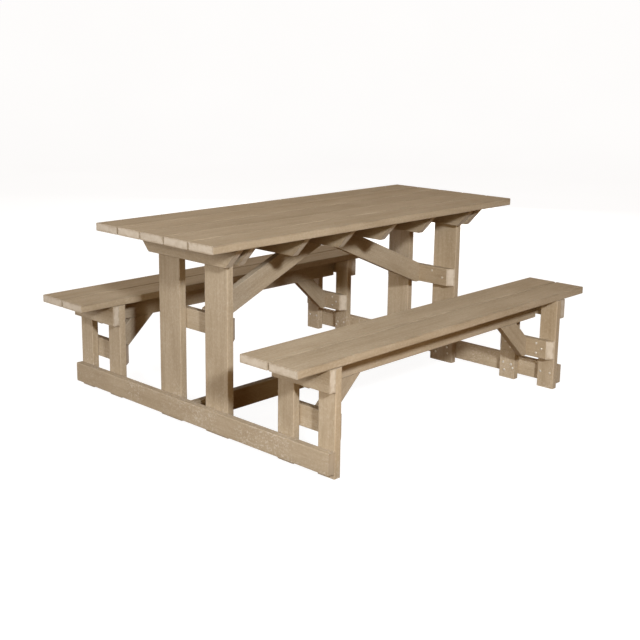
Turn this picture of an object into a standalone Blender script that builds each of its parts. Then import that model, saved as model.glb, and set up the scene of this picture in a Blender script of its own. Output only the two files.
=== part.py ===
"""Walk-in picnic table: a plank top carried by two leg frames, with a plank bench along each side.

X runs across the table, Y along it and Z up, and the origin is on the ground under the middle of the
top. Every timber is a separate plank of the same thickness, with its long arrises eased. At each end
one foot rail crosses the table legs and both pairs of bench legs on their outer faces, and shorter
mid rails cross them on their inner faces. Diagonal braces in the middle planes of the table and of
each bench run from the mid rails up to what they stiffen.
"""

import math

import bmesh
import bpy
from mathutils import Euler, Matrix

# Shared by all timbers
PLANK_T = 0.030         # thickness of every plank
GAP = 0.0003            # clearance left between pieces that touch
ARRIS_R = 0.0025        # rounding of the long edges
ARRIS_STEPS = 2
PARALLEL = 0.999        # cosine above which an edge counts as running with the grain

# Table top: boards side by side
TOP_Z = 0.770           # upper surface above the ground
TOP_LENGTH = 1.790
TOP_BOARDS = 5
TOP_BOARD_W = 0.130
TOP_BOARD_GAP = 0.0055

# Benches: two boards each
SEAT_Z = 0.422          # upper surface above the ground
SEAT_LENGTH = 1.780
SEAT_BOARDS = 2
SEAT_BOARD_W = 0.133
SEAT_BOARD_GAP = 0.0065
BENCH_X = 0.599         # centre plane of a bench

# End frames: the legs stand between an outer and an inner layer of cross planks
LEG_Y = 0.695           # centre plane of the legs' thickness
TABLE_LEG_X = 0.135
TABLE_LEG_W = 0.126
BENCH_LEG_OFFSET = 0.098
BENCH_LEG_W = 0.079

# Bearers across the underside of the top, with raked ends
BEARER_D = 0.085
BEARER_HALF_TOP = 0.298
BEARER_HALF_FOOT = 0.220
INNER_BEARER_Y = (0.1285, 0.3855)

# Cross planks of the end frames
RAIL_D = 0.080
FOOT_RAIL_Z = 0.020     # underside above the ground
TABLE_RAIL_Z = 0.369
BENCH_RAIL_Z = 0.1345
RAIL_END_BEVEL = 0.026  # how far the mid rails' ends are cut back on the inner face
SEAT_BEARER_D = 0.082

# Lengthwise planks set on edge
SEAT_RAIL_D = 0.098
STRETCHER_Z = 0.020
STRETCHER_D = 0.080

# Braces: slope from level, plank width, and how far the foot's upper corner clears its rail's top
TABLE_BRACE_SLOPE = math.radians(22.8)
TABLE_BRACE_W = 0.088
TABLE_BRACE_RISE = 0.006
BENCH_BRACE_SLOPE = math.radians(42.0)
BENCH_BRACE_W = 0.078
BENCH_BRACE_RISE = 0.0

# Screws that hold the table's mid rails to its legs
SCREW_SHANK_R = 0.0025
SCREW_HEAD_R = 0.0055
SCREW_HEAD_H = 0.0022
SCREW_RIM = 0.35        # share of the head's height that is its upright rim
SCREW_DOME = (0.7, 0.85)  # a point of the dome above it, as shares of the head's radius and height
SCREW_LENGTH = 0.050
SCREW_SIDES = 16
SCREW_MERGE = 0.000001  # points of the lathed profile nearer than this are one
SCREW_SHARP = math.radians(35)
SCREW_SPOTS = ((-0.046, 0.062), (0.014, 0.037))  # outwards from the leg's middle, up from the rail's foot
HOLE_R = SCREW_SHANK_R + 0.0004
HOLE_TIP_GAP = 0.001    # hole left beyond the screw's tip

# Heights and layers that follow from the sizes above
UNDER_TOP = TOP_Z - PLANK_T - GAP
UNDER_SEAT = SEAT_Z - PLANK_T - GAP
OUTER_Y = LEG_Y + PLANK_T + GAP
INNER_Y = LEG_Y - PLANK_T - GAP
BRACE_FOOT_Y = INNER_Y - PLANK_T / 2 - GAP
LEG_SPAN = BENCH_X + BENCH_LEG_OFFSET + BENCH_LEG_W / 2

# Turns that bring a plank's length and width onto the object's axes
ACROSS = (0, 0, 0)
ALONG_ON_EDGE = (0, 0, math.radians(90))
ALONG_FLAT = (math.radians(90), 0, math.radians(90))
UPRIGHT = (0, math.radians(-90), 0)


def clear_scene():
    for old in list(bpy.data.objects):
        bpy.data.objects.remove(old, do_unlink=True)


def make_material(name, colour, roughness, metallic=0.0):
    """Principled material in one plain colour."""
    made = bpy.data.materials.new(name)
    made.use_nodes = True
    shader = made.node_tree.nodes["Principled BSDF"]
    shader.inputs["Base Color"].default_value = (*colour, 1.0)
    shader.inputs["Roughness"].default_value = roughness
    shader.inputs["Metallic"].default_value = metallic
    made.diffuse_color = (*colour, 1.0)
    return made


def make_materials():
    """One material for each kind of timber, and one for the screws."""
    return {
        "top": make_material("top_boards", (0.39, 0.30, 0.20), 0.62),
        "seat": make_material("seat_boards", (0.40, 0.31, 0.21), 0.62),
        "leg": make_material("legs", (0.41, 0.32, 0.22), 0.66),
        "rail": make_material("rails", (0.38, 0.29, 0.19), 0.66),
        "bearer": make_material("bearers", (0.36, 0.27, 0.18), 0.68),
        "brace": make_material("braces", (0.37, 0.28, 0.18), 0.66),
        "screw": make_material("screws", (0.55, 0.53, 0.50), 0.35, 0.9),
    }


def along_grain(edge, grain):
    """True for an edge of the blank that runs with the grain."""
    run = (edge.verts[1].co - edge.verts[0].co).normalized()
    return abs(run.x * grain[0] + run.z * grain[1]) > PARALLEL


def plank_mesh(name, outline, depth, grain=(1.0, 0.0)):
    """Closed plank: the outline lies in the XZ plane and is extruded to the depth along Y, about its middle.

    The edges that run with the grain are the long arrises, and they are rounded.
    """
    shape = bmesh.new()
    corners = [shape.verts.new((x, -depth / 2, z)) for x, z in outline]
    face = shape.faces.new(corners)
    swept = bmesh.ops.extrude_face_region(shape, geom=[face])["geom"]
    moved = [item for item in swept if isinstance(item, bmesh.types.BMVert)]
    bmesh.ops.translate(shape, verts=moved, vec=(0.0, depth, 0.0))
    bmesh.ops.recalc_face_normals(shape, faces=shape.faces)
    arrises = [edge for edge in shape.edges if along_grain(edge, grain)]
    bmesh.ops.bevel(shape, geom=arrises, offset=ARRIS_R, segments=ARRIS_STEPS, profile=0.5, affect="EDGES")
    mesh = bpy.data.meshes.new(name)
    shape.to_mesh(mesh)
    shape.free()
    return mesh


def straight_mesh(name, length, width, depth=PLANK_T):
    """Plank with square ends: length along X, width along Z."""
    half, side = length / 2, width / 2
    return plank_mesh(name, [(-half, -side), (half, -side), (half, side), (-half, side)], depth)


def place(name, mesh, material, location, rotation=ACROSS, parent=None):
    """Make one object of a mesh, in a material of its own slot."""
    item = bpy.data.objects.new(name, mesh)
    bpy.context.collection.objects.link(item)
    if not mesh.materials:
        mesh.materials.append(material)
    item.location = location
    item.rotation_euler = rotation
    item.parent = parent
    return item


def make_group(name):
    """Empty that holds one unit of the table together."""
    group = bpy.data.objects.new(name, None)
    bpy.context.collection.objects.link(group)
    return group


def side_name(x):
    return "right" if x > 0 else "left"


def end_name(y):
    return "far" if y > 0 else "near"


def row_of(count, pitch):
    """Evenly spaced places about zero."""
    return [(index - (count - 1) / 2) * pitch for index in range(count)]


def build_top(mats, parent):
    mesh = straight_mesh("top_board", TOP_LENGTH, TOP_BOARD_W)
    for number, x in enumerate(row_of(TOP_BOARDS, TOP_BOARD_W + TOP_BOARD_GAP), 1):
        place(f"top_board_{number}", mesh, mats["top"], (x, 0, TOP_Z - PLANK_T / 2), ALONG_FLAT, parent)


def build_seats(mats, parent):
    mesh = straight_mesh("seat_board", SEAT_LENGTH, SEAT_BOARD_W)
    for side in (-1, 1):
        for number, x in enumerate(row_of(SEAT_BOARDS, SEAT_BOARD_W + SEAT_BOARD_GAP), 1):
            place(
                f"seat_board_{side_name(side)}_{number}", mesh, mats["seat"],
                (side * BENCH_X + x, 0, SEAT_Z - PLANK_T / 2), ALONG_FLAT, parent,
            )


def build_bearers(mats, parent):
    """Cross planks under the top: one on each face of each leg pair, and four between the frames."""
    middle = UNDER_TOP - BEARER_D / 2
    low, high = -BEARER_D / 2, BEARER_D / 2
    foot, top = BEARER_HALF_FOOT, BEARER_HALF_TOP
    outline = [(-foot, low), (foot, low), (top, high), (-top, high)]
    mesh = plank_mesh("top_bearer", outline, PLANK_T)
    places = sorted(side * y for side in (-1, 1) for y in (OUTER_Y, INNER_Y, *INNER_BEARER_Y))
    for number, y in enumerate(places, 1):
        place(f"top_bearer_{number}", mesh, mats["bearer"], (0, y, middle), ACROSS, parent)


def build_legs(mats, parent):
    table_mesh = straight_mesh("table_leg", UNDER_TOP, TABLE_LEG_W)
    bench_mesh = straight_mesh("bench_leg", UNDER_SEAT, BENCH_LEG_W)
    for end in (-1, 1):
        for side in (-1, 1):
            where = f"{side_name(side)}_{end_name(end)}"
            y = end * LEG_Y
            place(f"table_leg_{where}", table_mesh, mats["leg"],
                  (side * TABLE_LEG_X, y, UNDER_TOP / 2), UPRIGHT, parent)
            for reach, label in ((-BENCH_LEG_OFFSET, "inner"), (BENCH_LEG_OFFSET, "outer")):
                place(f"bench_leg_{label}_{where}", bench_mesh, mats["leg"],
                      (side * (BENCH_X + reach), y, UNDER_SEAT / 2), UPRIGHT, parent)


def build_foot_rails(mats, parent):
    mesh = straight_mesh("foot_rail", 2 * LEG_SPAN, RAIL_D)
    for end in (-1, 1):
        place(f"foot_rail_{end_name(end)}", mesh, mats["rail"],
              (0, end * OUTER_Y, FOOT_RAIL_Z + RAIL_D / 2), ACROSS, parent)


def build_seat_bearers(mats, parent):
    mesh = straight_mesh("seat_bearer", 2 * BENCH_LEG_OFFSET + BENCH_LEG_W, SEAT_BEARER_D)
    for end in (-1, 1):
        for side in (-1, 1):
            place(f"seat_bearer_{side_name(side)}_{end_name(end)}", mesh, mats["bearer"],
                  (side * BENCH_X, end * OUTER_Y, UNDER_SEAT - SEAT_BEARER_D / 2), ACROSS, parent)


def mid_rail_mesh(name, span):
    """Rail whose ends are bevelled in plan, so that its inner face is shorter than its back."""
    back, front = span / 2, span / 2 - RAIL_END_BEVEL
    half = PLANK_T / 2
    outline = [(-front, -half), (front, -half), (back, half), (-back, half)]
    return plank_mesh(name, outline, RAIL_D)


def mid_rail_turn(end):
    """Stand a mid rail on edge with its longer face towards the legs."""
    return (math.radians(90), 0, 0) if end < 0 else (math.radians(90), 0, math.radians(180))


def build_mid_rails(mats, parent):
    """Rails on the legs' inner faces; the table's two are returned for their screws."""
    table_span = 2 * TABLE_LEG_X + TABLE_LEG_W
    bench_mesh = mid_rail_mesh("bench_mid_rail", 2 * BENCH_LEG_OFFSET + BENCH_LEG_W)
    table_rails = {}
    for end in (-1, 1):
        y = end * INNER_Y
        mesh = mid_rail_mesh("table_mid_rail", table_span)
        table_rails[end] = place(f"table_mid_rail_{end_name(end)}", mesh, mats["rail"],
                                 (0, y, TABLE_RAIL_Z + RAIL_D / 2), mid_rail_turn(end), parent)
        for side in (-1, 1):
            place(f"bench_mid_rail_{side_name(side)}_{end_name(end)}", bench_mesh, mats["rail"],
                  (side * BENCH_X, y, BENCH_RAIL_Z + RAIL_D / 2), mid_rail_turn(end), parent)
    return table_rails


def build_lengthwise_rails(mats, parent):
    """Stretcher between the foot rails, and the rail that carries the middle of each seat."""
    run = 2 * (OUTER_Y - PLANK_T / 2 - GAP)
    stretcher = straight_mesh("low_stretcher", run, STRETCHER_D)
    place("low_stretcher", stretcher, mats["rail"],
          (0, 0, STRETCHER_Z + STRETCHER_D / 2), ALONG_ON_EDGE, parent)
    rail = straight_mesh("seat_rail", run, SEAT_RAIL_D)
    for side in (-1, 1):
        place(f"seat_rail_{side_name(side)}", rail, mats["rail"],
              (side * BENCH_X, 0, UNDER_SEAT - SEAT_RAIL_D / 2), ALONG_ON_EDGE, parent)


def brace_outline(rail_z, head_z, width, slope, rise, meets_middle):
    """Brace seen from the side, as (distance from the middle, height) points.

    The foot is cut upright against a mid rail and level with the rail's underside. The head is cut level
    under what it carries, and a brace that meets its twin is also cut upright in the middle plane.
    """
    grade = math.tan(slope)
    foot_top = rail_z + RAIL_D + rise
    lower_at_foot = foot_top - width / math.cos(slope)
    points = [
        (BRACE_FOOT_Y - (rail_z - lower_at_foot) / grade, rail_z),
        (BRACE_FOOT_Y, rail_z),
        (BRACE_FOOT_Y, foot_top),
        (BRACE_FOOT_Y - (head_z - foot_top) / grade, head_z),
    ]
    if meets_middle:
        middle = GAP / 2
        return points + [(middle, head_z), (middle, lower_at_foot + (BRACE_FOOT_Y - middle) * grade)]
    return points + [(BRACE_FOOT_Y - (head_z - lower_at_foot) / grade, head_z)]


def brace_turn(end):
    return (0, 0, math.radians(90 * end))


def build_braces(mats, parent):
    table_outline = brace_outline(TABLE_RAIL_Z, UNDER_TOP - BEARER_D - GAP, TABLE_BRACE_W,
                                  TABLE_BRACE_SLOPE, TABLE_BRACE_RISE, meets_middle=True)
    bench_outline = brace_outline(BENCH_RAIL_Z, UNDER_SEAT - SEAT_RAIL_D - GAP, BENCH_BRACE_W,
                                  BENCH_BRACE_SLOPE, BENCH_BRACE_RISE, meets_middle=False)
    table_grain = (math.cos(TABLE_BRACE_SLOPE), -math.sin(TABLE_BRACE_SLOPE))
    bench_grain = (math.cos(BENCH_BRACE_SLOPE), -math.sin(BENCH_BRACE_SLOPE))
    table_mesh = plank_mesh("table_brace", table_outline, PLANK_T, table_grain)
    bench_mesh = plank_mesh("bench_brace", bench_outline, PLANK_T, bench_grain)
    for end in (-1, 1):
        place(f"table_brace_{end_name(end)}", table_mesh, mats["brace"], (0, 0, 0), brace_turn(end), parent)
        for side in (-1, 1):
            place(f"bench_brace_{side_name(side)}_{end_name(end)}", bench_mesh, mats["brace"],
                  (side * BENCH_X, 0, 0), brace_turn(end), parent)


def screw_mesh():
    """Round-headed screw about Z: its head above the plane Z = 0 and its shank below it."""
    profile = [
        (0.0, -SCREW_LENGTH),
        (SCREW_SHANK_R, 2 * SCREW_SHANK_R - SCREW_LENGTH),
        (SCREW_SHANK_R, 0.0),
        (SCREW_HEAD_R, 0.0),
        (SCREW_HEAD_R, SCREW_HEAD_H * SCREW_RIM),
        (SCREW_HEAD_R * SCREW_DOME[0], SCREW_HEAD_H * SCREW_DOME[1]),
        (0.0, SCREW_HEAD_H),
    ]
    shape = bmesh.new()
    points = [shape.verts.new((radius, 0.0, z)) for radius, z in profile]
    lines = [shape.edges.new(pair) for pair in zip(points, points[1:])]
    bmesh.ops.spin(shape, geom=points + lines, cent=(0, 0, 0), axis=(0, 0, 1), dvec=(0, 0, 0),
                   angle=math.tau, steps=SCREW_SIDES, use_merge=True)
    bmesh.ops.remove_doubles(shape, verts=shape.verts, dist=SCREW_MERGE)
    bmesh.ops.recalc_face_normals(shape, faces=shape.faces)
    mesh = bpy.data.meshes.new("rail_screw")
    shape.to_mesh(mesh)
    shape.free()
    mesh.shade_smooth()
    mesh.set_sharp_from_angle(angle=SCREW_SHARP)
    return mesh


def screw_places(end):
    """Side, number, and the point on the table mid rail's inner face for each screw at one end."""
    face_y = end * (INNER_Y - PLANK_T / 2 - GAP)
    for side in (-1, 1):
        for number, (out, up) in enumerate(SCREW_SPOTS, 1):
            yield side, number, (side * (TABLE_LEG_X + out), face_y, TABLE_RAIL_Z + up)


def screw_turn(end):
    """Point a screw's head at the middle of the table."""
    return Euler((math.radians(90 * end), 0, 0))


def cut_screw_holes(end, rail):
    """Cut the holes of one end's screws through the mid rail and into the two table legs."""
    depth = SCREW_LENGTH + HOLE_TIP_GAP + SCREW_HEAD_H
    shape = bmesh.new()
    for _, _, point in screw_places(end):
        sunk = Matrix.Translation((0, 0, SCREW_HEAD_H - depth / 2))
        where = Matrix.Translation(point) @ screw_turn(end).to_matrix().to_4x4() @ sunk
        bmesh.ops.create_cone(shape, cap_ends=True, segments=SCREW_SIDES, radius1=HOLE_R, radius2=HOLE_R,
                              depth=depth, matrix=where)
    mesh = bpy.data.meshes.new("screw_holes")
    shape.to_mesh(mesh)
    shape.free()
    cutter = bpy.data.objects.new(f"screw_holes_{end_name(end)}", mesh)
    bpy.context.collection.objects.link(cutter)
    cutter.hide_render = True
    cutter.display_type = "WIRE"
    legs = [bpy.data.objects[f"table_leg_{side_name(side)}_{end_name(end)}"] for side in (-1, 1)]
    for timber in (rail, *legs):
        cut = timber.modifiers.new("screw_holes", "BOOLEAN")
        cut.operation = "DIFFERENCE"
        cut.solver = "EXACT"
        cut.object = cutter


def build_rail_screws(mats, parent, rails):
    """Two screws through each table mid rail into each leg behind it."""
    mesh = screw_mesh()
    for end, rail in rails.items():
        cut_screw_holes(end, rail)
        for side, number, point in screw_places(end):
            place(f"rail_screw_{side_name(side)}_{end_name(end)}_{number}", mesh, mats["screw"],
                  point, screw_turn(end), parent)


def main():
    clear_scene()
    mats = make_materials()
    table = make_group("picnic_table")
    build_top(mats, table)
    build_seats(mats, table)
    build_bearers(mats, table)
    build_legs(mats, table)
    build_foot_rails(mats, table)
    build_seat_bearers(mats, table)
    table_rails = build_mid_rails(mats, table)
    build_rail_screws(mats, table, table_rails)
    build_lengthwise_rails(mats, table)
    build_braces(mats, table)


main()
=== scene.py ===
"""Finish of a walk-in picnic table made of grain-printed plank lumber.

X runs across the table, Y along it and Z up, in metres, with the origin on the ground under the
middle of the top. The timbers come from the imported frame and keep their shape. This add-on gives
each of them a finish that follows its own grain, drives the visible screws, and lights the table
on a pale floor.
"""

import math
import random

import bmesh
import bpy
from bpy.props import FloatProperty, FloatVectorProperty, IntProperty, PointerProperty
from mathutils import Euler, Matrix, Vector


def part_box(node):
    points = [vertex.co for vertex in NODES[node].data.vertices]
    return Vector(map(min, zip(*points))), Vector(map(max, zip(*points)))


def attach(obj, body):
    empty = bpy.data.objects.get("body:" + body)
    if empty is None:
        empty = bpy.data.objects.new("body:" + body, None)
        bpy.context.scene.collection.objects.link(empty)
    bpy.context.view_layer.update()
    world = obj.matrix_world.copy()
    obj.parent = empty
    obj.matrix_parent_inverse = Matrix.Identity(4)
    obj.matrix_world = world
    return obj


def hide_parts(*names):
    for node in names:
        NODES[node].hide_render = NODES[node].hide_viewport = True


bl_info = {
    "name": "Picnic Table Finish",
    "version": (1, 0, 0),
    "blender": (4, 5, 0),
    "location": "3D View > Sidebar > Picnic Table",
    "description": "Gives a plank picnic table its grain, its screws and a plain studio",
    "category": "Object",
}

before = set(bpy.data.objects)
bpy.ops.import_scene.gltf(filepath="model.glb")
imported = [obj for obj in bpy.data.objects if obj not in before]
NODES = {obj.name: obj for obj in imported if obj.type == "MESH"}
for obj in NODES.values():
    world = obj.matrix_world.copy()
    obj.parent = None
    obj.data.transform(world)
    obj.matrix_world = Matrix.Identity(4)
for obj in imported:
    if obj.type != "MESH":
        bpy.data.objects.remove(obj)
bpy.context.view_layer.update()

ACROSS, ALONG, UP = Vector((1, 0, 0)), Vector((0, 1, 0)), Vector((0, 0, 1))
TABLE_BRACE_SLOPE = math.radians(22.8)
BENCH_BRACE_SLOPE = math.radians(42.0)
ENDS = (("near", -1), ("far", 1))
SIDES = (("left", -1), ("right", 1))
TOP_BOARDS, TOP_BEARERS, SEAT_BOARDS = 5, 8, 2

# Screws of one quarter of the table, each as (out from its timber's middle, up from the ground)
OUTER_LEG_SPOTS = ((-0.025, 0.069), (0.022, 0.069))
INNER_LEG_SPOTS = ((-0.020, 0.069), (0.021, 0.065), (-0.013, 0.035), (0.030, 0.050))
TABLE_LEG_SPOTS = ((-0.036, 0.070), (0.034, 0.072), (-0.030, 0.038), (0.038, 0.042))
MID_RAIL_SPOTS = ((-0.034, 0.198), (-0.008, 0.177), (-0.033, 0.155))

# A screw's head, in shares of its radius and its height: the steps of its crown, then its recess
CROWN_STEPS = ((0.14, 0.30), (0.22, 0.22), (0.24, 0.08))
RECESS_RIM, RECESS_DEPTH = 0.05, 0.65

# Noises of a plank: cycles per metre along, across and through it, then detail and roughness
NOISES = {
    "bands": ((0.9, 17.0, 17.0), 2.0, 0.5),
    "streaks": ((3.2, 85.0, 85.0), 4.0, 0.62),
    "fibres": ((16.0, 520.0, 520.0), 2.0, 0.6),
    "clouds": ((5.0, 11.0, 11.0), 3.0, 0.5),
    "grains": ((105.0, 135.0, 135.0), 3.0, 0.7),
    "patches": ((7.0, 12.0, 12.0), 2.0, 0.5),
    "blotches": ((60.0, 42.0, 60.0), 3.0, 0.6),
    "saw_marks": ((900.0, 60.0, 900.0), 1.0, 0.5),
}
GRAIN_WEIGHTS = {"bands": 0.50, "streaks": 0.54, "fibres": 0.60, "clouds": 0.80, "grains": 0.70}
RIPPLE_WEIGHT = 0.14        # of the ripples that follow the bands
RIPPLE_COUNT = 9.0          # over the whole range of the bands
CUT_COSINES = (0.18, 0.34)  # from a drawn face to a sawn one, between its normal and the grain
GRAIN_RELIEF = 0.0011       # depth of the printed grain, in metres
EVEN_FLECKS = 0.10          # pale flecks at every height
PATCHY_FLECKS = 0.12        # and more of them in patches
RIM_WIDTH = 0.009           # browner rim of the cut ends, in metres
RIM_WANDER = 0.012          # how far its inner edge wanders, in metres
END_WEAR = 0.30             # how far the arrises of the ends are rubbed pale
JOINT_SHADE = -0.25         # painted shade: the arrises of the boards are darker by this share, for the shade in the joints between them
FRAME_LIGHT_TONES = {"near": 1.03, "far": 1.16}   # painted light: the planks of each end frame are made paler, the far one most, for the light that reaches them less

# Lights: the place and the side of each square in metres, then its colour
LIGHTS = {
    "key_light": ((4.2, -2.46, 2.6), 0.36, (0.92, 0.97, 1.0)),
    "end_light": ((-0.9, -7.6, 2.3), 2.3, (0.84, 0.92, 1.0)),
    "camera_light": ((3.7, -6.6, 2.2), 2.0, (1.0, 0.84, 0.52)),
    "left_light": ((-4.5, -2.5, 2.5), 2.0, (0.95, 0.97, 1.0)),
    "back_light": ((-3.4, 4.4, 0.7), 2.0, (1.0, 0.95, 0.86)),
    "top_light": ((0.2, -0.6, 4.2), 3.2, (1.0, 0.99, 0.90)),
    "floor_glow": ((1.7, -0.6, 0.01), 1.7, (1.0, 0.74, 0.46)),
}
LIT_POINT = Vector((0, 0, 0.3))
AIR_COLOUR = (1.0, 0.46, 0.12)
SWEEP_STEPS, SWEEP_SHARE = 8, 0.35      # the floor's curve up, its radius as a share of the floor's
FLOOR_SHARE, FLOOR_GLOW = 0.20, 0.97    # how much of its colour the floor reflects and gives out

# Camera: its place, its (pan, tilt, roll) in radians, the shift of its frame, and the width in mm
CAMERA_PLACE = (2.976, -3.173, 1.418)
CAMERA_TURN = (0.7539, 0.2071, 0.0140)
CAMERA_SHIFT = (-0.0022, -0.0756)
CAMERA_FRAME = 36.0


class Value:
    """A socket's value in a material: arithmetic on it adds Math nodes."""

    def __init__(self, graph, socket):
        self.graph = graph
        self.socket = socket

    def __add__(self, other):
        return self.graph.maths("ADD", self, other)

    def __sub__(self, other):
        return self.graph.maths("SUBTRACT", self, other)

    def __rsub__(self, other):
        return self.graph.maths("SUBTRACT", other, self)

    def __mul__(self, other):
        return self.graph.maths("MULTIPLY", self, other)

    def __abs__(self):
        return self.graph.maths("ABSOLUTE", self)

    __radd__ = __add__
    __rmul__ = __mul__

    def limited(self):
        """The value held between 0 and 1."""
        return self.graph.add("ShaderNodeClamp", {}, {"Value": self})

    def stepped(self, low, high):
        """0 at low, 1 at high, and a smooth step between them."""
        settings = {"interpolation_type": "SMOOTHSTEP"}
        inputs = {"Value": self, "From Min": low, "From Max": high}
        return self.graph.add("ShaderNodeMapRange", settings, inputs)


class Graph:
    """The node tree of one material, with its Principled shader."""

    def __init__(self, name):
        self.material = bpy.data.materials.new(name)
        self.material.use_nodes = True
        self.tree = self.material.node_tree
        self.shader = self.tree.nodes["Principled BSDF"]

    def add(self, kind, settings, inputs, output=0):
        """Add a node: its settings first, then its sockets' values or links."""
        node = self.tree.nodes.new(kind)
        for name, value in settings.items():
            setattr(node, name, value)
        for key, value in inputs.items():
            self.feed(node.inputs[key], value)
        return Value(self, node.outputs[output])

    def feed(self, socket, value):
        """Give a socket a value, a colour or a link."""
        if isinstance(value, Value):
            self.tree.links.new(value.socket, socket)
        elif socket.type == "RGBA":
            socket.default_value = (*value, 1.0)
        else:
            socket.default_value = value

    def shade(self, **inputs):
        """Feed the Principled shader's sockets; an underscore stands for a space."""
        for name, value in inputs.items():
            self.feed(self.shader.inputs[name.replace("_", " ")], value)

    def maths(self, operation, *terms):
        return self.add("ShaderNodeMath", {"operation": operation}, dict(enumerate(terms)))

    def mixed(self, share, first, second):
        """The first colour at 0 and the second at 1."""
        inputs = {0: share, 6: first, 7: second}
        return self.add("ShaderNodeMix", {"data_type": "RGBA"}, inputs, output=2)

    def scaled(self, colour, amount):
        """A colour made lighter or darker by a number or a value."""
        grey = self.add("ShaderNodeCombineXYZ", {}, {0: amount, 1: amount, 2: amount})
        return self.add("ShaderNodeVectorMath", {"operation": "MULTIPLY"}, {0: colour, 1: grey})

    def parts(self, vector):
        """The three parts of a vector."""
        node = self.tree.nodes.new("ShaderNodeSeparateXYZ")
        self.feed(node.inputs[0], vector)
        return [Value(self, socket) for socket in node.outputs]

    def noise(self, place, stretch, seed, detail=2.0, roughness=0.5):
        """Noise about 0.5 with so many cycles per metre along each part of place."""
        mapping = {"Vector": place, "Location": seed, "Scale": stretch}
        spread = self.add("ShaderNodeMapping", {"vector_type": "POINT"}, mapping)
        inputs = {"Vector": spread, "Scale": 1.0, "Detail": detail, "Roughness": roughness}
        return self.add("ShaderNodeTexNoise", {}, inputs)

    def bumped(self, height, distance, strength):
        inputs = {"Height": height, "Distance": distance, "Strength": strength}
        return self.add("ShaderNodeBump", {}, inputs)


class TimberSettings(bpy.types.PropertyGroup):
    """Colours and wear of the planks."""

    pale: FloatVectorProperty(
        name="Pale Grain", description="Colour between the grain lines", subtype="COLOR",
        default=(0.430, 0.347, 0.253), min=0.0, max=1.0)
    dark: FloatVectorProperty(
        name="Dark Grain", description="Colour of the grain lines", subtype="COLOR",
        default=(0.282, 0.213, 0.138), min=0.0, max=1.0)
    sawn: FloatVectorProperty(
        name="Sawn End", description="Colour of the freshly cut faces", subtype="COLOR",
        default=(0.510, 0.442, 0.366), min=0.0, max=1.0)
    contrast: FloatProperty(
        name="Grain Contrast", description="How strongly the grain shows", subtype="FACTOR",
        default=1.0, min=0.0, max=2.0)
    roughness: FloatProperty(
        name="Roughness", description="Roughness of the drawn faces", subtype="FACTOR",
        default=0.60, min=0.0, max=1.0)
    wear_width: FloatProperty(
        name="Edge Wear", description="Width of the rubbed band along the edges", unit="LENGTH",
        default=0.006, min=0.0, max=0.03)
    fleck_height: FloatProperty(
        name="Fleck Height", description="Height above the ground that the pale flecks reach",
        unit="LENGTH", default=0.20, min=0.0, max=1.0)


class ScrewSettings(bpy.types.PropertyGroup):
    """Shape and colour of the screws."""

    head_radius: FloatProperty(
        name="Head Radius", description="Radius of a screw's head", unit="LENGTH",
        default=0.0055, min=0.003, max=0.010)
    head_height: FloatProperty(
        name="Head Height", description="How far a head stands off the timber", unit="LENGTH",
        default=0.0022, min=0.001, max=0.005)
    shank_radius: FloatProperty(
        name="Shank Radius", description="Radius of a screw's shank", unit="LENGTH",
        default=0.0025, min=0.001, max=0.005)
    shank_length: FloatProperty(
        name="Shank Length", description="Length of the shank under the head", unit="LENGTH",
        default=0.045, min=0.01, max=0.05)
    sides: IntProperty(
        name="Sides", description="Faces round a screw", default=20, min=8, max=48)
    steel: FloatVectorProperty(
        name="Steel", description="Colour of the screws", subtype="COLOR",
        default=(0.72, 0.68, 0.62), min=0.0, max=1.0)


class StageSettings(bpy.types.PropertyGroup):
    """Floor, lights and camera."""

    floor_radius: FloatProperty(
        name="Floor Radius", description="Radius of the flat part of the floor", unit="LENGTH",
        default=9.0, min=3.0, max=30.0)
    floor_colour: FloatVectorProperty(
        name="Floor", description="Colour of the floor and backdrop", subtype="COLOR",
        default=(0.96, 0.96, 0.96), min=0.0, max=1.0)
    key_power: FloatProperty(
        name="Key Light", description="Power of the small light on the right", unit="POWER",
        default=270.0, min=0.0)
    end_power: FloatProperty(
        name="End Light", description="Power of the soft light on the near end", unit="POWER",
        default=262.0, min=0.0)
    camera_power: FloatProperty(
        name="Camera Light", description="Power of the soft light beside the camera", unit="POWER",
        default=145.0, min=0.0)
    left_power: FloatProperty(
        name="Left Light", description="Power of the soft light on the left", unit="POWER",
        default=42.0, min=0.0)
    back_power: FloatProperty(
        name="Back Light", description="Power of the soft light behind the table", unit="POWER",
        default=230.0, min=0.0)
    top_power: FloatProperty(
        name="Top Light", description="Power of the broad light over the table", unit="POWER",
        default=47.0, min=0.0)
    glow_power: FloatProperty(
        name="Floor Glow", description="Power of the light that the floor on the right sends up",
        unit="POWER", default=6.5, min=0.0)
    air_strength: FloatProperty(
        name="Air", description="Strength of the dim warm light from all round",
        default=0.13, min=0.0)
    lens: FloatProperty(
        name="Lens", description="Focal length of the camera on a 36 mm frame, in millimetres",
        default=59.08, min=20.0, max=200.0)


# Finishes of the timbers

def plank_frame(name, grain, width):
    """A plank's middle, its turn, and its half sizes along its grain, width and thickness."""
    axes = Matrix((grain, width, grain.cross(width)))
    points = [axes @ vertex.co for vertex in NODES[name].data.vertices]
    low = Vector(min(point[part] for point in points) for part in range(3))
    high = Vector(max(point[part] for point in points) for part in range(3))
    turn = axes.transposed()
    return turn @ ((low + high) / 2), turn.to_euler(), (high - low) / 2


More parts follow.
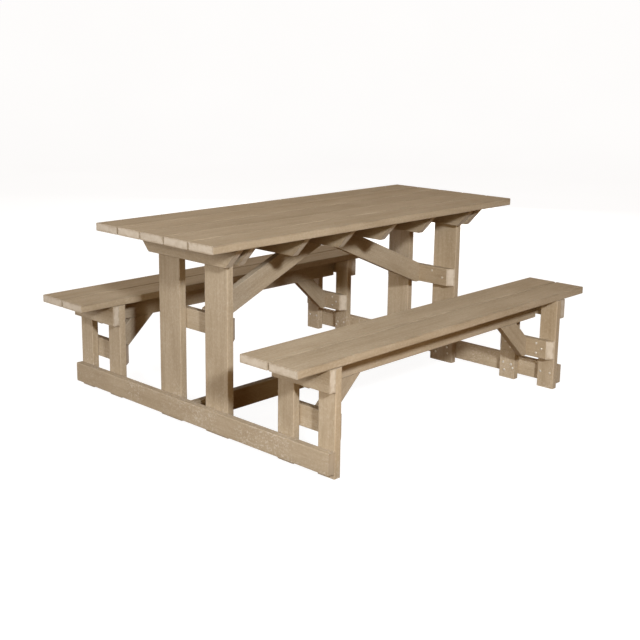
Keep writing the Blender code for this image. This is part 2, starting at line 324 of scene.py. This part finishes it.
class Plank:
    """The material of one plank, laid out along its own grain."""

    def __init__(self, name, grain, width):
        centre, turn, self.half = plank_frame(name, grain, width)
        draws = random.Random(name)
        seed = [draws.uniform(-40.0, 40.0) for _ in range(3)]
        self.batch_tone = draws.uniform(0.965, 1.035)
        self.settings = bpy.context.scene.picnic_timber
        self.graph = graph = Graph(f"timber_{name}")
        place = graph.add("ShaderNodeTexCoord", {}, {}, "Object")
        normal = graph.add("ShaderNodeTexCoord", {}, {}, "Normal")
        frame_inputs = {"Vector": place, "Location": centre, "Rotation": turn}
        local = graph.add("ShaderNodeMapping", {"vector_type": "TEXTURE"}, frame_inputs)
        dot, vectors = {"operation": "DOT_PRODUCT"}, {0: normal, 1: grain}
        facing = graph.add("ShaderNodeVectorMath", dot, vectors, output="Value")
        self.cut = abs(facing).stepped(*CUT_COSINES)
        self.height = graph.parts(place)[2]
        self.along, self.across, self.through = graph.parts(local)
        self.noises = {
            kind: graph.noise(local, stretch, seed, detail, roughness)
            for kind, (stretch, detail, roughness) in NOISES.items()
        }

    def grained(self):
        """Colour of the drawn faces: streaks, mottling and ripples that follow the bands."""
        noises, contrast = self.noises, self.settings.contrast
        ripples = noises["bands"] * RIPPLE_COUNT + noises["streaks"] * 0.6
        wave = self.graph.maths("PINGPONG", ripples, 0.5).stepped(0.0, 0.34)
        share = (wave - 0.75) * (RIPPLE_WEIGHT * contrast) + 0.5
        for kind, weight in GRAIN_WEIGHTS.items():
            share = share + (noises[kind] - 0.5) * (weight * contrast)
        return self.graph.mixed(share.limited(), self.settings.dark, self.settings.pale)

    def flecked(self, colour, fleck):
        """The colour with pale flecks, more of them near the ground."""
        reach = self.settings.fleck_height
        low_down = 1.0 - self.height.stepped(reach * 0.3, reach)
        patches = self.noises["patches"].stepped(0.40, 0.62)
        spots = self.noises["grains"].stepped(0.48, 0.68)
        share = (low_down * patches * fleck + patches * PATCHY_FLECKS + EVEN_FLECKS) * spots
        return self.graph.mixed(share.limited(), colour, self.settings.sawn)

    def sawn(self, end_tone):
        """Colour of the cut ends: blotched, with a browner rim."""
        blotches = self.noises["blotches"]
        from_sides = self.half.y - abs(self.across)
        from_faces = self.half.z - abs(self.through)
        inset = self.graph.maths("MINIMUM", from_sides, from_faces)
        clear_of_rim = (inset + (blotches - 0.5) * RIM_WANDER).stepped(0.0, RIM_WIDTH)
        marks = (self.noises["saw_marks"] - 0.5) * 0.25
        share = (0.02 + blotches * 0.85 + marks + clear_of_rim * 0.42) * end_tone
        return self.graph.mixed(share.limited(), self.settings.dark, self.settings.sawn)

    def rubbed(self):
        """How near each point is to the long edges and to the ends, as two values: they set the
        rubbed wear and, on the boards, the painted shade along the arrises.
        """
        width = self.settings.wear_width
        ragged = (self.noises["clouds"] - 0.5) * 0.008 + (self.noises["fibres"] - 0.5) * 0.004
        from_arris = (self.half.y - abs(self.across)) + (self.half.z - abs(self.through))
        from_end = self.half.x - abs(self.along)
        return (1.0 - (from_arris + ragged).stepped(0.0, width),
                1.0 - (from_end + ragged).stepped(0.0, width * 0.8))


def finish_timber(name, grain, width, tone=1.0, fleck=0.15, edge=0.07, end_tone=1.0):
    """Give one plank a finish along its grain; a negative edge darkens its arrises with painted
    shade.
    """
    plank = Plank(name, grain, width)
    graph, noises, cut = plank.graph, plank.noises, plank.cut
    arris, end = plank.rubbed()
    wear = graph.maths("MAXIMUM", arris * max(edge, 0.0), end * END_WEAR)
    drawn = graph.mixed(wear, plank.flecked(plank.grained(), fleck), plank.settings.sawn)
    # A negative edge paints shade along the arrises, for the shade in the joints between the
    # boards.
    drawn = graph.scaled(drawn, 1.0 + arris * min(edge, 0.0))
    colour = graph.mixed(cut, drawn, plank.sawn(end_tone))
    drawn_relief = noises["streaks"] + noises["fibres"] * 0.8 + noises["grains"] * 0.35
    sawn_relief = (noises["saw_marks"] + noises["blotches"]) * 0.6
    relief = drawn_relief * (1.0 - cut) + sawn_relief * cut
    unevenness = (0.5 - noises["streaks"]) * 0.22 + (noises["grains"] - 0.5) * 0.10
    roughness = unevenness - wear * 0.08 + cut * 0.15 + plank.settings.roughness
    graph.shade(
        Base_Color=graph.scaled(colour, tone * plank.batch_tone),
        Roughness=roughness.limited(),
        Normal=graph.bumped(relief, distance=GRAIN_RELIEF, strength=0.55),
        Specular_IOR_Level=0.35,
    )
    NODES[name].material_slots[0].material = graph.material


def steel_finish(name):
    """Brushed steel for the screws, with fine scratches and stains."""
    settings = bpy.context.scene.picnic_screws
    graph = Graph(name)
    place = graph.add("ShaderNodeTexCoord", {}, {}, "Object")
    scratches = graph.noise(place, (2500.0, 300.0, 2500.0), (3.0, 5.0, 7.0), 3.0, 0.6)
    stains = graph.noise(place, (160.0, 160.0, 160.0), (1.0, 8.0, 2.0))
    graph.shade(
        Base_Color=graph.scaled(settings.steel, 0.74 + scratches * 0.22 + stains * 0.30),
        Roughness=(0.24 + scratches * 0.22 + stains * 0.12).limited(),
        Metallic=0.55,
        Normal=graph.bumped(scratches, distance=0.0001, strength=0.3),
    )
    return graph.material


# Screws

def select_only(item):
    bpy.ops.object.select_all(action="DESELECT")
    item.select_set(True)
    bpy.context.view_layer.objects.active = item


def select_faces(item, wanted):
    """Select the faces that a test picks out, in edit mode."""
    shape = bmesh.from_edit_mesh(item.data)
    for face in shape.faces:
        face.select_set(False)
    for face in shape.faces:
        if wanted(face):
            face.select_set(True)
    shape.select_flush_mode()
    bmesh.update_edit_mesh(item.data)


def model_screw():
    """A round-headed screw about Z, its head standing on Z = 0, with a recess in its crown."""
    settings = bpy.context.scene.picnic_screws
    radius, height = settings.head_radius, settings.head_height
    bpy.ops.object.select_all(action="DESELECT")
    bpy.ops.mesh.primitive_cylinder_add(
        vertices=settings.sides, radius=radius, depth=height * 0.4, location=(0, 0, height * 0.2))
    screw = bpy.context.active_object
    bpy.ops.object.mode_set(mode="EDIT")
    select_faces(screw, lambda face: face.normal.z > 0.99)
    for inset, rise in CROWN_STEPS:
        bpy.ops.mesh.inset(thickness=radius * inset)
        bpy.ops.transform.translate(value=(0, 0, height * rise))
    bpy.ops.mesh.inset(thickness=radius * RECESS_RIM)
    bpy.ops.mesh.extrude_region_move(
        TRANSFORM_OT_translate={"value": (0, 0, -height * RECESS_DEPTH)})
    select_faces(screw, lambda face: face.normal.z < -0.99)
    bpy.ops.mesh.inset(thickness=radius - settings.shank_radius)
    bpy.ops.mesh.extrude_region_move(
        TRANSFORM_OT_translate={"value": (0, 0, -settings.shank_length)})
    bpy.ops.mesh.inset(thickness=settings.shank_radius * 0.7)
    bpy.ops.transform.translate(value=(0, 0, -settings.shank_radius * 2))
    bpy.ops.object.mode_set(mode="OBJECT")
    select_only(screw)
    bpy.ops.object.transform_apply(location=True, rotation=True, scale=True)
    bpy.ops.object.shade_smooth_by_angle(angle=math.radians(32))
    return screw


def place_screws(name, model, points, direction):
    """Copy the model screw to each point with its head towards a direction, and join the copies."""
    turn = direction.to_track_quat("Z", "Y").to_matrix().to_4x4()
    copies = []
    for point in points:
        item = bpy.data.objects.new(name, model.data.copy())
        bpy.context.scene.collection.objects.link(item)
        item.data.transform(Matrix.Translation(point) @ turn)
        copies.append(item)
    bpy.ops.object.select_all(action="DESELECT")
    for item in copies:
        item.select_set(True)
    bpy.context.view_layer.objects.active = copies[0]
    if len(copies) > 1:
        bpy.ops.object.join()
    copies[0].name = name
    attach(copies[0], "root")
    return copies[0]


def remove_model(model):
    bpy.data.objects.remove(model, do_unlink=True)


def inward(end):
    """Direction from one end frame towards the middle of the table."""
    return ALONG * -end


def spots_on(node, side, end, spots):
    """Points on a timber's inner face, given out from its middle and up from the ground."""
    low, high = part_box(node)
    middle = (low.x + high.x) / 2
    face_y = low.y if end > 0 else high.y
    return [Vector((middle + side * out, face_y, up)) for out, up in spots]


class FinishOperator:
    """What all the operators share."""

    bl_options = {"REGISTER", "UNDO"}


class PICNIC_OT_finish_top(FinishOperator, bpy.types.Operator):
    """Finish the boards of the table top"""

    bl_idname = "picnic.finish_top"
    bl_label = "Finish Table Top"

    def execute(self, context):
        for number in range(1, TOP_BOARDS + 1):
            finish_timber(f"top_board_{number}", ALONG, ACROSS, edge=JOINT_SHADE)
        return {"FINISHED"}


class PICNIC_OT_finish_seats(FinishOperator, bpy.types.Operator):
    """Finish the boards of the benches"""

    bl_idname = "picnic.finish_seats"
    bl_label = "Finish Seats"

    def execute(self, context):
        for side, _ in SIDES:
            for number in range(1, SEAT_BOARDS + 1):
                finish_timber(f"seat_board_{side}_{number}", ALONG, ACROSS, edge=JOINT_SHADE)
        return {"FINISHED"}


class PICNIC_OT_finish_legs(FinishOperator, bpy.types.Operator):
    """Finish the legs of the table and of the benches"""

    bl_idname = "picnic.finish_legs"
    bl_label = "Finish Legs"

    def execute(self, context):
        for side, _ in SIDES:
            for end, _ in ENDS:
                # The end frame's tone is painted light: the far frame is paler for the light that
                # reaches it less.
                tone = FRAME_LIGHT_TONES[end]
                for leg in ("table_leg", "bench_leg_inner", "bench_leg_outer"):
                    finish_timber(f"{leg}_{side}_{end}", UP, ACROSS, tone, fleck=0.40)
        return {"FINISHED"}


class PICNIC_OT_finish_rails(FinishOperator, bpy.types.Operator):
    """Finish the rails across the legs and along the table"""

    bl_idname = "picnic.finish_rails"
    bl_label = "Finish Rails"

    def execute(self, context):
        for end, _ in ENDS:
            # The end frame's tone is painted light: the far frame is paler for the light that
            # reaches it less.
            tone = FRAME_LIGHT_TONES[end]
            finish_timber(f"foot_rail_{end}", ACROSS, UP, tone, fleck=0.75, end_tone=0.35)
            finish_timber(f"table_mid_rail_{end}", ACROSS, UP, tone)
            for side, _ in SIDES:
                finish_timber(f"bench_mid_rail_{side}_{end}", ACROSS, UP, tone, fleck=0.80)
        # The low stretcher is darkened with painted shade, for the shade it lies in under the table
        # and the benches.
        finish_timber("low_stretcher", ALONG, UP, tone=0.80)
        for side, _ in SIDES:
            finish_timber(f"seat_rail_{side}", ALONG, UP, tone=0.98)
        return {"FINISHED"}


class PICNIC_OT_finish_bearers(FinishOperator, bpy.types.Operator):
    """Finish the bearers under the top and the seats"""

    bl_idname = "picnic.finish_bearers"
    bl_label = "Finish Bearers"

    def execute(self, context):
        for number in range(1, TOP_BEARERS + 1):
            finish_timber(f"top_bearer_{number}", ACROSS, UP)
        for side, _ in SIDES:
            for end, _ in ENDS:
                finish_timber(f"seat_bearer_{side}_{end}", ACROSS, UP)
        return {"FINISHED"}


def finish_brace(name, end, slope):
    """A brace climbs from the end of the table towards its middle."""
    grain = Vector((0, -end * math.cos(slope), math.sin(slope)))
    finish_timber(name, grain, grain.cross(ACROSS))


class PICNIC_OT_finish_braces(FinishOperator, bpy.types.Operator):
    """Finish the diagonal braces"""

    bl_idname = "picnic.finish_braces"
    bl_label = "Finish Braces"

    def execute(self, context):
        for end, sign in ENDS:
            finish_brace(f"table_brace_{end}", sign, TABLE_BRACE_SLOPE)
            for side, _ in SIDES:
                finish_brace(f"bench_brace_{side}_{end}", sign, BENCH_BRACE_SLOPE)
        return {"FINISHED"}


class PICNIC_OT_drive_rail_screws(FinishOperator, bpy.types.Operator):
    """Drive the screws of the table's mid rails"""

    bl_idname = "picnic.drive_rail_screws"
    bl_label = "Drive Table Rail Screws"

    def execute(self, context):
        model = model_screw()
        model.data.materials.append(steel_finish("rail_screw_steel"))
        for side, _ in SIDES:
            for end, sign in ENDS:
                face_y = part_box(f"table_mid_rail_{end}")[0 if sign > 0 else 1].y
                for number in (1, 2):
                    node = f"rail_screw_{side}_{end}_{number}"
                    low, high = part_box(node)
                    point = Vector(((low.x + high.x) / 2, face_y, (low.z + high.z) / 2))
                    name = f"rail_screw_head_{side}_{end}_{number}"
                    piece = place_screws(name, model, [point], inward(sign))
                    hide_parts(node)
        remove_model(model)
        return {"FINISHED"}


def mirrored(leg):
    """The mid rail's screws keep clear of its bevelled ends, so the outer leg's lean inwards."""
    turn = 1 if leg == "outer" else -1
    return [(turn * out, up) for out, up in MID_RAIL_SPOTS]


class PICNIC_OT_drive_bench_screws(FinishOperator, bpy.types.Operator):
    """Drive the screws of the benches' mid rails"""

    bl_idname = "picnic.drive_bench_screws"
    bl_label = "Drive Bench Rail Screws"

    def execute(self, context):
        model = model_screw()
        model.data.materials.append(steel_finish("bench_screw_steel"))
        for side, x_sign in SIDES:
            for end, y_sign in ENDS:
                face_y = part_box(f"bench_mid_rail_{side}_{end}")[0 if y_sign > 0 else 1].y
                points = []
                for leg in ("inner", "outer"):
                    node = f"bench_leg_{leg}_{side}_{end}"
                    for point in spots_on(node, x_sign, y_sign, mirrored(leg)):
                        points.append(Vector((point.x, face_y, point.z)))
                place_screws(f"bench_rail_screws_{side}_{end}", model, points, inward(y_sign))
        remove_model(model)
        return {"FINISHED"}


class PICNIC_OT_drive_foot_screws(FinishOperator, bpy.types.Operator):
    """Drive the screws through the legs into the foot rails"""

    bl_idname = "picnic.drive_foot_screws"
    bl_label = "Drive Foot Rail Screws"

    def execute(self, context):
        model = model_screw()
        model.data.materials.append(steel_finish("foot_screw_steel"))
        for side, x_sign in SIDES:
            for end, y_sign in ENDS:
                where = f"{side}_{end}"
                points = spots_on(f"table_leg_{where}", x_sign, y_sign, TABLE_LEG_SPOTS)
                points += spots_on(f"bench_leg_inner_{where}", x_sign, y_sign, INNER_LEG_SPOTS)
                points += spots_on(f"bench_leg_outer_{where}", x_sign, y_sign, OUTER_LEG_SPOTS)
                place_screws(f"foot_rail_screws_{where}", model, points, inward(y_sign))
        remove_model(model)
        return {"FINISHED"}


# Studio

def stage_material(colour):
    """Pale backdrop, part lit and part glowing, with a faint unevenness."""
    graph = Graph("studio_floor")
    place = graph.add("ShaderNodeTexCoord", {}, {}, "Object")
    cloud = graph.noise(place, (0.6, 0.6, 0.6), (0.0, 0.0, 0.0))
    tone = graph.scaled(colour, 0.985 + cloud * 0.03)
    graph.shade(
        Base_Color=graph.scaled(tone, FLOOR_SHARE),
        Roughness=0.9,
        Emission_Color=tone,
        Emission_Strength=FLOOR_GLOW,
    )
    return graph.material


def build_backdrop(settings):
    """A round floor that sweeps up into a wall."""
    radius = settings.floor_radius
    bpy.ops.object.select_all(action="DESELECT")
    bpy.ops.mesh.primitive_circle_add(
        vertices=96, radius=radius, fill_type="NGON", location=(0, 0, 0))
    floor = bpy.context.active_object
    floor.name = "studio_floor"
    bpy.ops.object.mode_set(mode="EDIT")
    bpy.ops.mesh.select_all(action="SELECT")
    bpy.ops.mesh.inset(thickness=radius * 0.02)
    shape = bmesh.from_edit_mesh(floor.data)
    for edge in shape.edges:
        edge.select_set(edge.is_boundary)
    shape.select_flush(True)
    bmesh.update_edit_mesh(floor.data)
    sweep = radius * SWEEP_SHARE
    for step in range(SWEEP_STEPS):
        lower, upper = (math.pi / 2 * part / SWEEP_STEPS for part in (step, step + 1))
        out = sweep * (math.sin(upper) - math.sin(lower))
        rise = sweep * (math.cos(lower) - math.cos(upper))
        reach = radius + sweep * math.sin(lower)
        bpy.ops.mesh.extrude_edges_move(TRANSFORM_OT_translate={"value": (0, 0, rise)})
        grown = (reach + out) / reach
        bpy.ops.transform.resize(value=(grown, grown, 1), center_override=(0, 0, 0))
    bpy.ops.mesh.extrude_edges_move(TRANSFORM_OT_translate={"value": (0, 0, radius)})
    bpy.ops.mesh.select_all(action="SELECT")
    bpy.ops.mesh.normals_make_consistent(inside=True)
    bpy.ops.object.mode_set(mode="OBJECT")
    bpy.ops.object.shade_smooth()
    floor.data.materials.append(stage_material(settings.floor_colour))
    floor.visible_diffuse = False
    floor.visible_glossy = False
    return floor


def add_light(name, power):
    """A soft square light that looks at the middle of the table."""
    place, size, colour = LIGHTS[name]
    lamp = bpy.data.lights.new(name, "AREA")
    lamp.shape = "SQUARE"
    lamp.size = size
    lamp.energy = power
    lamp.color = colour
    item = bpy.data.objects.new(name, lamp)
    bpy.context.scene.collection.objects.link(item)
    item.location = place
    item.rotation_euler = (LIT_POINT - item.location).to_track_quat("-Z", "Y").to_euler()
    item.visible_camera = False
    return item


def add_world(settings):
    """Dim warm light from all round, which keeps the shadows brown."""
    world = bpy.data.worlds.new("studio_air")
    world.use_nodes = True
    background = world.node_tree.nodes["Background"]
    background.inputs["Color"].default_value = (*AIR_COLOUR, 1.0)
    background.inputs["Strength"].default_value = settings.air_strength
    bpy.context.scene.world = world


def add_camera(settings):
    """Camera off the near right corner, a little above the table top."""
    lens = bpy.data.cameras.new("camera")
    lens.lens = settings.lens
    lens.sensor_width = CAMERA_FRAME
    lens.shift_x = CAMERA_SHIFT[0]
    lens.shift_y = CAMERA_SHIFT[1]
    item = bpy.data.objects.new("camera", lens)
    bpy.context.scene.collection.objects.link(item)
    item.location = CAMERA_PLACE
    pan, tilt, roll = CAMERA_TURN
    aim = Euler((math.pi / 2 - tilt, 0, pan)).to_matrix() @ Matrix.Rotation(roll, 3, "Z")
    item.rotation_euler = aim.to_euler()
    bpy.context.scene.camera = item


class PICNIC_OT_set_stage(FinishOperator, bpy.types.Operator):
    """Lay the floor, hang the lights and set the camera"""

    bl_idname = "picnic.set_stage"
    bl_label = "Set Stage"

    def execute(self, context):
        scene = context.scene
        settings = scene.picnic_stage
        build_backdrop(settings)
        add_light("key_light", settings.key_power)
        add_light("end_light", settings.end_power)
        add_light("camera_light", settings.camera_power)
        add_light("left_light", settings.left_power)
        back = add_light("back_light", settings.back_power)
        add_light("top_light", settings.top_power)
        glow = add_light("floor_glow", settings.glow_power)
        glow.rotation_euler = (math.pi, 0, 0)
        for light in (back, glow):
            light.visible_glossy = False
        add_world(settings)
        add_camera(settings)
        scene.view_settings.view_transform = "Standard"
        return {"FINISHED"}


class PICNIC_PT_panel(bpy.types.Panel):
    """Everything that finishes the table, in the order it is done"""

    bl_idname = "PICNIC_PT_panel"
    bl_label = "Picnic Table"
    bl_space_type = "VIEW_3D"
    bl_region_type = "UI"
    bl_category = "Picnic Table"

    def draw(self, context):
        layout = self.layout
        for name in GROUPS:
            group = getattr(context.scene, name)
            box = layout.box()
            for setting in group.__annotations__:
                box.prop(group, setting)
        for operator in OPERATORS:
            layout.operator(operator.bl_idname)


OPERATORS = (
    PICNIC_OT_finish_top,
    PICNIC_OT_finish_seats,
    PICNIC_OT_finish_legs,
    PICNIC_OT_finish_rails,
    PICNIC_OT_finish_bearers,
    PICNIC_OT_finish_braces,
    PICNIC_OT_drive_rail_screws,
    PICNIC_OT_drive_bench_screws,
    PICNIC_OT_drive_foot_screws,
    PICNIC_OT_set_stage,
)
GROUPS = {
    "picnic_timber": TimberSettings,
    "picnic_screws": ScrewSettings,
    "picnic_stage": StageSettings,
}


def register():
    for name, group in GROUPS.items():
        bpy.utils.register_class(group)
        setattr(bpy.types.Scene, name, PointerProperty(type=group))
    for item in (*OPERATORS, PICNIC_PT_panel):
        bpy.utils.register_class(item)


def unregister():
    for item in reversed((*OPERATORS, PICNIC_PT_panel)):
        bpy.utils.unregister_class(item)
    for name, group in GROUPS.items():
        delattr(bpy.types.Scene, name)
        bpy.utils.unregister_class(group)


def main():
    register()
    bpy.ops.picnic.finish_top()
    bpy.ops.picnic.finish_seats()
    bpy.ops.picnic.finish_legs()
    bpy.ops.picnic.finish_rails()
    bpy.ops.picnic.finish_bearers()
    bpy.ops.picnic.finish_braces()
    bpy.ops.picnic.drive_rail_screws()
    bpy.ops.picnic.drive_bench_screws()
    bpy.ops.picnic.drive_foot_screws()
    bpy.ops.picnic.set_stage()


if __name__ == "__main__":
    main()
